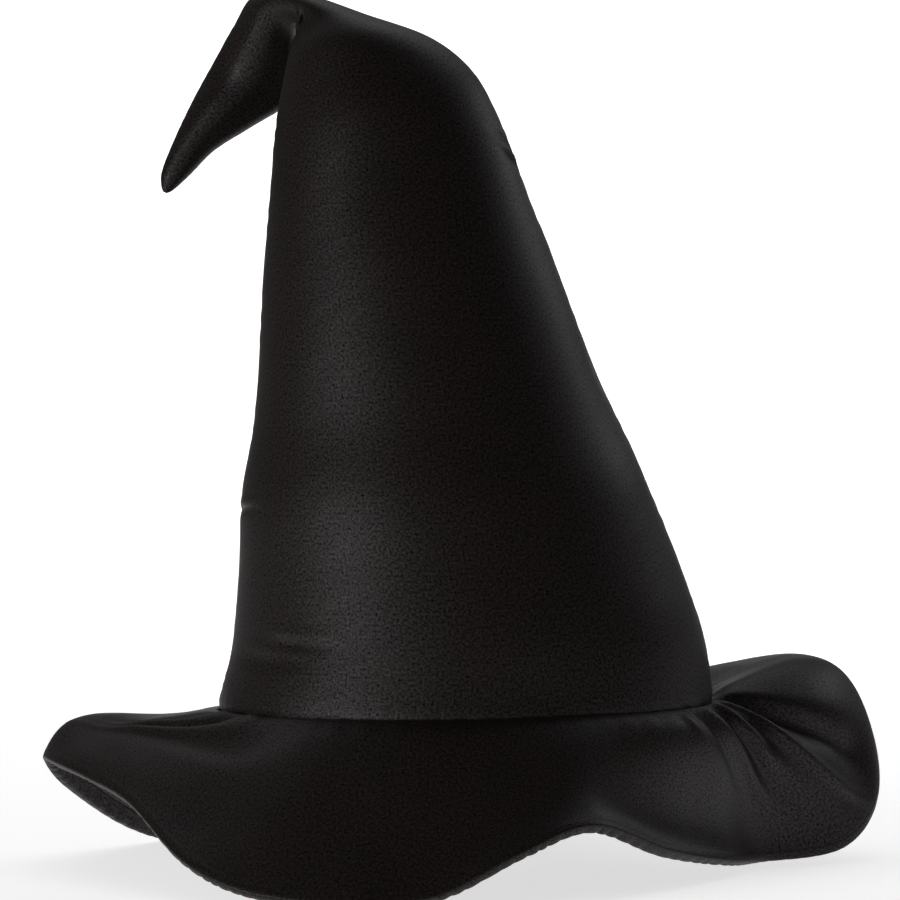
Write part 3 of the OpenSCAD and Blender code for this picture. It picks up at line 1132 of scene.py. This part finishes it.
@dataclass
class Brim:
    """The brim: satin above and below, foam between, a rolled edge on a wire."""

    form: BrimForm
    wardrobe: Wardrobe
    foam_t: float = 3.6
    satin_t: float = 0.6
    gap: float = 0.1
    roll_points: tuple[tuple[float, float], ...] = (
        (-6.0, 0.9), (-4.0, 1.7), (-2.4, 2.3), (-1.2, 2.52), (-0.2, 2.56), (1.0, 2.46), (2.0, 2.3),
        (2.7, 2.0), (3.05, 1.4), (3.15, 0.5), (3.1, -0.5), (2.9, -1.6), (2.3, -2.6), (1.2, -3.15),
        (-0.5, -3.3), (-2.6, -3.2), (-4.3, -3.12), (-5.2, -2.9),
    )
    stitches: int = 158
    cut_r: float = 185.0
    columns: int = 850
    rows: int = 52
    foam_starts: float = 0.03

    def flat(self, across: np.ndarray, share: np.ndarray) -> np.ndarray:
        """The cut ring's own place for each point, in millimetres."""
        radius = self.form.headline_r + (self.cut_r - self.form.headline_r) * share
        turn = across * 2 * math.pi
        return np.stack([radius * np.cos(turn), radius * np.sin(turn)], axis=-1)

    def cloth(self, name: str, node: str, finish: Finish, height: float) -> bpy.types.Object:
        """A satin face of the brim, cut as a flat ring.

        Args:
            name: the piece's name.
            node: the frame's node that it replaces.
            finish: what it is made of.
            height: where its inner face lies above the middle surface, in millimetres.

        Returns:
            The face.
        """
        above = height > 0

        def place(across: np.ndarray, along: np.ndarray) -> np.ndarray:
            """Each grid point's place."""
            tuck = 2.4 * np.exp(-np.square(along / 0.012)) * above
            return self.form.place(across * self.form.count, along, height - tuck)

        piece = cloth_sheet(name, self.columns, self.rows, place, self.flat)
        close_ring(piece)
        # The ring's face is its underside, so the upper satin thickens against it.
        thicken(piece, self.satin_t, -1 if above else 1)
        self.wardrobe.dress(piece, finish)
        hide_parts(node)
        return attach(piece, "crown")

    def foam(self) -> bpy.types.Object:
        """The foam between the two faces, out along its underside and back along its top."""
        rows = 2 * self.rows + 2
        turns = np.array([0, self.rows, self.rows + 1, rows - 1, rows]) / rows

        def share(along: np.ndarray) -> np.ndarray:
            """How far each grid point lies from the headline."""
            return np.interp(along, turns, (self.foam_starts, 1, 1, self.foam_starts, self.foam_starts))

        def place(across: np.ndarray, along: np.ndarray) -> np.ndarray:
            """Each grid point's place."""
            side = np.interp(along, turns, (-1, -1, 1, 1, -1))
            return self.form.place(across * self.form.count, share(along), side * self.foam_t / 2)

        piece = cloth_sheet("brim_foam_pad", self.columns, rows, place, lambda a, b: self.flat(a, share(b)))
        close_ring(piece)
        smooth(piece)
        self.wardrobe.dress(piece, Finish.FOAM)
        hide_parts("brim_foam")
        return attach(piece, "crown")

    def roll_profile(self, around: np.ndarray) -> tuple[np.ndarray, np.ndarray]:
        """The rolled edge's section, between its listed points.

        Args:
            around: share of the way from its top leg, round the edge, to its under leg.

        Returns:
            How far out and how far up each point is, in millimetres.
        """
        point = through(self.roll_points, around * (len(self.roll_points) - 1))
        return point[..., 0], point[..., 1]

    def pucker(self, across: np.ndarray) -> np.ndarray:
        """How hard the edge's stitches pull the roll in: 1 at a stitch's end, 0 between."""
        turn = across * 2 * math.pi
        wander = 0.5 * np.sin(turn * 23) + 0.35 * np.sin(turn * 57 + 1)
        strength = 0.65 + 0.35 * np.sin(turn * 17 + 2 * np.sin(turn * 5))
        return strength * (1 - np.abs(np.sin(across * self.stitches * math.pi + wander))) ** 1.4

    def edge_roll(self) -> bpy.types.Object:
        """The satin strip rolled over the edge and puckered by its stitches."""
        stations, run, _ = self.form.lengths()
        width = sum(math.dist(p, q) for p, q in zip(self.roll_points, self.roll_points[1:]))

        def place(across: np.ndarray, along: np.ndarray) -> np.ndarray:
            """Each grid point's place."""
            out, up = self.roll_profile(along)
            pull = self.pucker(across) * ease((out + 0.6) / 1.6) * ease((2.3 - up) / 3)
            under = self.pucker(across) * ease(-up / 2) * ease((out + 4.5) / 2)
            far = np.where(out > 0, out * (1 - 0.2 * pull), out)
            high = up * (1 - 0.13 * np.maximum(pull, under))
            return self.form.beside_edge(across * self.form.count, far, high)

        def flat(across: np.ndarray, along: np.ndarray) -> np.ndarray:
            """Each grid point's place on the flat cloth."""
            return np.stack([np.interp(across * self.form.count, stations, run), along * width], axis=-1)

        piece = cloth_sheet("brim_edge_roll_satin", self.stitches * 8, 38, place, flat)
        close_ring(piece)
        thicken(piece, 0.4, 1)
        self.wardrobe.dress(piece, Finish.OUTER)
        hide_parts("brim_edge_roll")
        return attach(piece, "crown")

    def edge_stitches(self) -> bpy.types.Object:
        """The stitches that hold the roll's under leg, one to each pucker."""
        share = (np.arange(self.stitches) + 0.5) / self.stitches
        half = 0.33 / self.stitches
        ends = [self.form.beside_edge((share + side * half) * self.form.count,
                                      np.full(self.stitches, -3.8), np.full(self.stitches, -3.22))
                for side in (-1, 1)]
        piece = stitch_row("brim_edge_stitches", ends[0], ends[1], 0.24)
        self.wardrobe.dress(piece, Finish.THREAD)
        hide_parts("brim_edge_stitching")
        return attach(piece, "crown")

    def build(self) -> list[bpy.types.Object]:
        """Makes every piece of the brim."""
        face = self.foam_t / 2 + self.gap
        top = self.cloth("brim_top_cloth", "brim_top_satin", Finish.OUTER, face)
        under = self.cloth("brim_under_cloth", "brim_under_satin", Finish.UNDER, -face)
        pieces = [top, under, self.foam(), self.edge_roll(), self.edge_stitches()]
        self.wardrobe.dress_node("brim_wire", Finish.WIRE)
        self.wardrobe.dress_node("brim_wire_joiner", Finish.WIRE)
        return pieces


@dataclass
class HeadOpening:
    """The trim inside the head opening: ribbon, tape, stitches and a blank label."""

    brim: BrimForm
    wardrobe: Wardrobe
    head_r: float = 92.3
    band_low: float = -3.5
    band_h: float = 26.0
    band_t: float = 1.0
    tape_low: float = -3.5
    tape_t: float = 1.8
    tape_inner_r: float = 93.4
    tape_outer_r: float = 104.1
    tape_turn_up: float = 4.0
    stitches: int = 48
    stitch_len: float = 5.0
    thread_r: float = 0.25
    label: tuple[float, float] = (18.0, 12.0)

    def check(self) -> None:
        """Warns where the stations kept here no longer match the frame."""
        low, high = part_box("sweatband")
        if abs(low.z - self.band_low * MM) > MM or abs(high.x - (self.head_r + self.band_t) * MM) > MM:
            log.warning("the sweatband's sizes differ from the frame's: %s %s", low, high)

    def ring(self, name: str, columns: int, rows: int, section: Callable, width: float) -> bpy.types.Object:
        """A closed ring of cloth from a section that gives radius and height at each point.

        Args:
            name: the ring's name.
            columns: faces round it.
            rows: faces across its width.
            section: gives radius and height from a turn in radians and a share of the width.
            width: its flat width, in millimetres.

        Returns:
            The ring, without thickness.
        """
        girth = 2 * math.pi * self.head_r

        def place(across: np.ndarray, along: np.ndarray) -> np.ndarray:
            """Each grid point's place."""
            turn = across * 2 * math.pi
            r, z = section(turn, along)
            return np.stack([r * np.cos(turn), r * np.sin(turn), z], axis=-1)

        def flat(across: np.ndarray, along: np.ndarray) -> np.ndarray:
            """Each grid point's place on the flat cloth."""
            return np.stack([across * girth, along * width], axis=-1)

        piece = cloth_sheet(name, columns, rows, place, flat)
        close_ring(piece)
        return piece

    def sweatband(self) -> bpy.types.Object:
        """The grosgrain ribbon that rests on the head, overlapped at the back."""
        def section(turn: np.ndarray, along: np.ndarray) -> Grid:
            """The radius and height at each point."""
            selvedge = 0.15 * (hump(along - 0.02, 0.02, 0.03) + hump(along - 0.98, 0.03, 0.02))
            lap = 0.3 * ease((np.sin(turn) - 0.9985) / 0.0004)
            ripple = 0.12 * np.sin(turn * 11 + 2) * along
            return self.head_r + 0.5 - selvedge - lap + np.abs(ripple), self.band_low + self.band_h * along

        piece = self.ring("sweatband_ribbon", 480, 28, section, self.band_h)
        thicken(piece, 0.45, 1)
        self.wardrobe.dress(piece, Finish.RIBBON)
        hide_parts("sweatband")
        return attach(piece, "crown")

    def binding(self) -> bpy.types.Object:
        """The bias tape over the headline seam, turned up to the brim and drawn in by each stitch."""
        middle = (self.tape_inner_r + self.tape_outer_r) / 2
        reach = (self.tape_outer_r - self.tape_inner_r) / 2
        width = 2 * reach + self.tape_turn_up

        def section(turn: np.ndarray, along: np.ndarray) -> Grid:
            """The radius and height at each point."""
            pull = (0.5 + 0.5 * np.cos(turn * self.stitches)) * hump(along - 0.5, 0.3, 0.3)
            edge = 0.5 * ease((np.abs(along * 2 - 1) - 0.85) / 0.15)
            z = self.tape_low + 0.35 * (1 - pull) * 0.6 + 0.3 * pull + edge
            brim = self.brim.headline_z + self.brim.headline_lift * (np.cos(turn) - np.sin(turn)) - 0.9
            turned = ease((along - 0.8) / 0.2)
            return middle + reach * (along * 2 - 1) + 1.3 * turned, z + (brim - z) * turned

        piece = self.ring("headline_binding", 576, 20, section, width)
        thicken(piece, 0.9, -1)
        low = corners(piece)[:, 2].min()
        put_corners(piece, corners(piece) + [0, 0, self.tape_low * MM - low])
        self.wardrobe.dress(piece, Finish.LINING)
        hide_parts("headline_tape")
        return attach(piece, "crown")

    def headline_stitches(self) -> bpy.types.Object:
        """The stitches through the tape."""
        r = (self.tape_inner_r + self.tape_outer_r) / 2
        turn = np.arange(self.stitches) * 2 * math.pi / self.stitches
        half = self.stitch_len / r / 2
        ends = [np.stack([r * np.cos(turn + side * half), r * np.sin(turn + side * half),
                          np.full(self.stitches, self.tape_low - 0.1)], axis=-1) for side in (-1, 1)]
        piece = stitch_row("headline_stitches", ends[0], ends[1], self.thread_r)
        self.wardrobe.dress(piece, Finish.THREAD)
        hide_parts("headline_stitching")
        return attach(piece, "crown")

    def care_label(self) -> bpy.types.Object:
        """The blank woven label, sewn in along its top and curled by wear."""
        wide, tall = self.label
        low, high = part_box("care_label")
        y = (low.y + high.y) / 2 / MM

        def place(across: np.ndarray, along: np.ndarray) -> np.ndarray:
            """Each grid point's place."""
            curl = 1.6 * (1 - along) ** 2 + 0.5 * np.sin(across * math.pi) * (1 - along)
            return np.stack([(across - 0.5) * wide, y + curl, high.z / MM - tall * (1 - along)], axis=-1)

        piece = cloth_sheet("care_label_cloth", 24, 18, place,
                            lambda a, b: np.stack([a * wide, b * tall], axis=-1))
        thicken(piece, 0.3, 0)
        self.wardrobe.dress(piece, Finish.LABEL)
        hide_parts("care_label")
        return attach(piece, "crown")

    def build(self) -> list[bpy.types.Object]:
        """Makes every piece of the trim."""
        self.check()
        return [self.sweatband(), self.binding(), self.headline_stitches(), self.care_label()]


# ---------- studio ----------

@dataclass
class Studio:
    """A pale sweep, a soft light at the left, and a long lens.

    The sweep is kept narrow, so that it doesn't light the hat's edges from the sides.
    """

    eye_mm: tuple[float, float, float] = (-5.6, -1600.0, 110.3)
    lens: float = 150.0
    sweep_hex: str = "#f4f4f4"
    under_light: float = 0.68
    air_light: float = 0.11
    sweep_wide: float = 1700.0
    sweep_front: float = -1900.0
    sweep_run: float = 4200.0
    sweep_r: float = 850.0

    def camera(self) -> None:
        """Sets the camera level with the hat's middle, in front of it."""
        data = bpy.data.cameras.new("camera")
        data.lens = self.lens
        data.sensor_width = 36.0
        data.clip_end = 50.0
        camera = bpy.data.objects.new("camera", data)
        camera.location = Vector(self.eye_mm) * MM
        camera.rotation_euler = (math.radians(90), 0, 0)
        bpy.context.scene.collection.objects.link(camera)
        bpy.context.scene.camera = camera

    def sweep(self, floor_z: float) -> None:
        """A floor that curves up into a backdrop.

        Args:
            floor_z: the floor's height, in metres.
        """
        def place(across: np.ndarray, along: np.ndarray) -> np.ndarray:
            """Each grid point's place."""
            y = self.sweep_front + self.sweep_run * np.minimum(along / 0.7, 1)
            turn = np.clip((along - 0.7) / 0.3, 0, 1) * math.pi / 2
            return np.stack([(across - 0.5) * self.sweep_wide, y + self.sweep_r * np.sin(turn),
                             floor_z / MM + self.sweep_r * (1 - np.cos(turn))], axis=-1)

        piece = cloth_sheet("sweep", 4, 80, place, lambda a, b: np.stack([a * 1000, b * 1000], axis=-1))
        smooth(piece)
        material, shader = new_material("white acrylic sweep, lit from below")
        fill_sockets(material, shader, {
            "Base Color": linear(self.sweep_hex), "Roughness": 1.0, "Specular IOR Level": 0.0,
            "Emission Color": linear("#ffffff"), "Emission Strength": self.under_light}, {})
        piece.data.materials.append(material)
        piece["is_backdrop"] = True

    def area_light(self, name: str, place: tuple[float, float, float], aim: tuple[float, float, float],
                   size: tuple[float, float], watts: float, spread: float = 180) -> None:
        """A soft box that faces a point.

        Args:
            name: its name.
            place: where it stands, in metres.
            aim: the point that it faces, in metres.
            size: its width and height, in metres.
            watts: its power.
            spread: the angle that its light is kept within, in degrees.
        """
        data = bpy.data.lights.new(name, "AREA")
        data.shape = "RECTANGLE"
        data.size, data.size_y = size
        data.energy = watts
        data.spread = math.radians(spread)
        light = bpy.data.objects.new(name, data)
        light.location = place
        way = Vector(aim) - Vector(place)
        light.rotation_euler = way.to_track_quat("-Z", "Y").to_euler()
        bpy.context.scene.collection.objects.link(light)

    def lights(self) -> None:
        """The key at the left, a weak fill at the right and two lights on the backdrop."""
        self.area_light("key_left", (-1.5, -1.05, 0.12), (0, 0, 0.14), (0.9, 0.45), 14.0)
        self.area_light("rim_right", (1.3, 1.1, 0.9), (0, 0, 0.3), (0.3, 0.3), 1.8)
        self.area_light("backdrop_left", (-1.2, 1.5, 0.4), (0, 2.9, 0.25), (0.6, 0.6), 14.0)
        self.area_light("backdrop_right", (1.2, 1.5, 0.4), (0, 2.9, 0.25), (0.6, 0.6), 14.0)
        self.area_light("floor_top", (0, 1.0, 1.5), (0, 0.3, 0), (2.6, 1.0), 3.0, spread=110)
        world = bpy.data.worlds.new("studio air")
        world.use_nodes = True
        background = world.node_tree.nodes["Background"]
        background.inputs["Color"].default_value = linear("#ffffff")
        background.inputs["Strength"].default_value = self.air_light
        bpy.context.scene.world = world
        bpy.context.scene.view_settings.view_transform = "Standard"


def check_form(node: str, points: np.ndarray, slack: float = 4.0) -> None:
    """Warns where a form's stations no longer match the frame.

    Args:
        node: the frame's node that lies on the form.
        points: points on the same part of the form, in millimetres.
        slack: how far the two boxes may differ, in millimetres.
    """
    low, high = (np.array(corner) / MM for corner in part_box(node))
    away = np.abs(np.concatenate([points.min(axis=0) - low, points.max(axis=0) - high])).max()
    log.info("%s: the form lies within %.1f mm of the frame", node, away)
    if away > slack:
        log.warning("the form's stations differ from the frame's %s", node)


def check_forms(crown: CrownForm, brim: BrimForm) -> None:
    """Checks both forms against the frame's own pieces."""
    share = np.linspace(0, 1, 80)
    station, bearing = np.meshgrid(share * 12.9, 180 + 180 * share)
    check_form("crown_front_panel", crown.place(station, bearing, 0.0, 0.0).reshape(-1, 3))
    station, across = np.meshgrid(share * brim.count, share)
    check_form("brim_foam", brim.middle(station, across).reshape(-1, 3))


def write_sizes() -> None:
    """Measures the frame's box and the finished hat's box."""
    boxes = {"cad": CAD_BOX, "visual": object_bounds()}
    sizes = {name: [list(corner) for corner in box] for name, box in boxes.items()}


def main() -> None:
    """Builds the hat and its studio."""
    logging.basicConfig(level=logging.INFO, format="%(name)s: %(message)s")
    studio = Studio()
    studio.camera()
    wardrobe = Wardrobe()
    crown_form, brim_form, fold = CrownForm(), BrimForm(), FoldLine()
    check_forms(crown_form, brim_form)
    pieces: list[bpy.types.Object] = []
    for side, first_bearing in (("front", 180.0), ("back", 0.0)):
        panel = CrownPanel(side, first_bearing, crown_form, wardrobe)
        pieces += [panel.foam(), panel.lining(), panel.satin(fold)]
    pieces.append(Tip(crown_form, wardrobe).wadding())
    pieces += Brim(brim_form, wardrobe).build()
    pieces += HeadOpening(brim_form, wardrobe).build()
    wardrobe.dress_node("side_seam_thread", Finish.THREAD)
    for piece in pieces:
        log.info("%s: %d faces", piece.name, len(piece.data.polygons))
    studio.sweep(min(CAD_BOX[0][2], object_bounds()[0][2]))
    studio.lights()
    write_sizes()


if __name__ == "__main__":
    main()
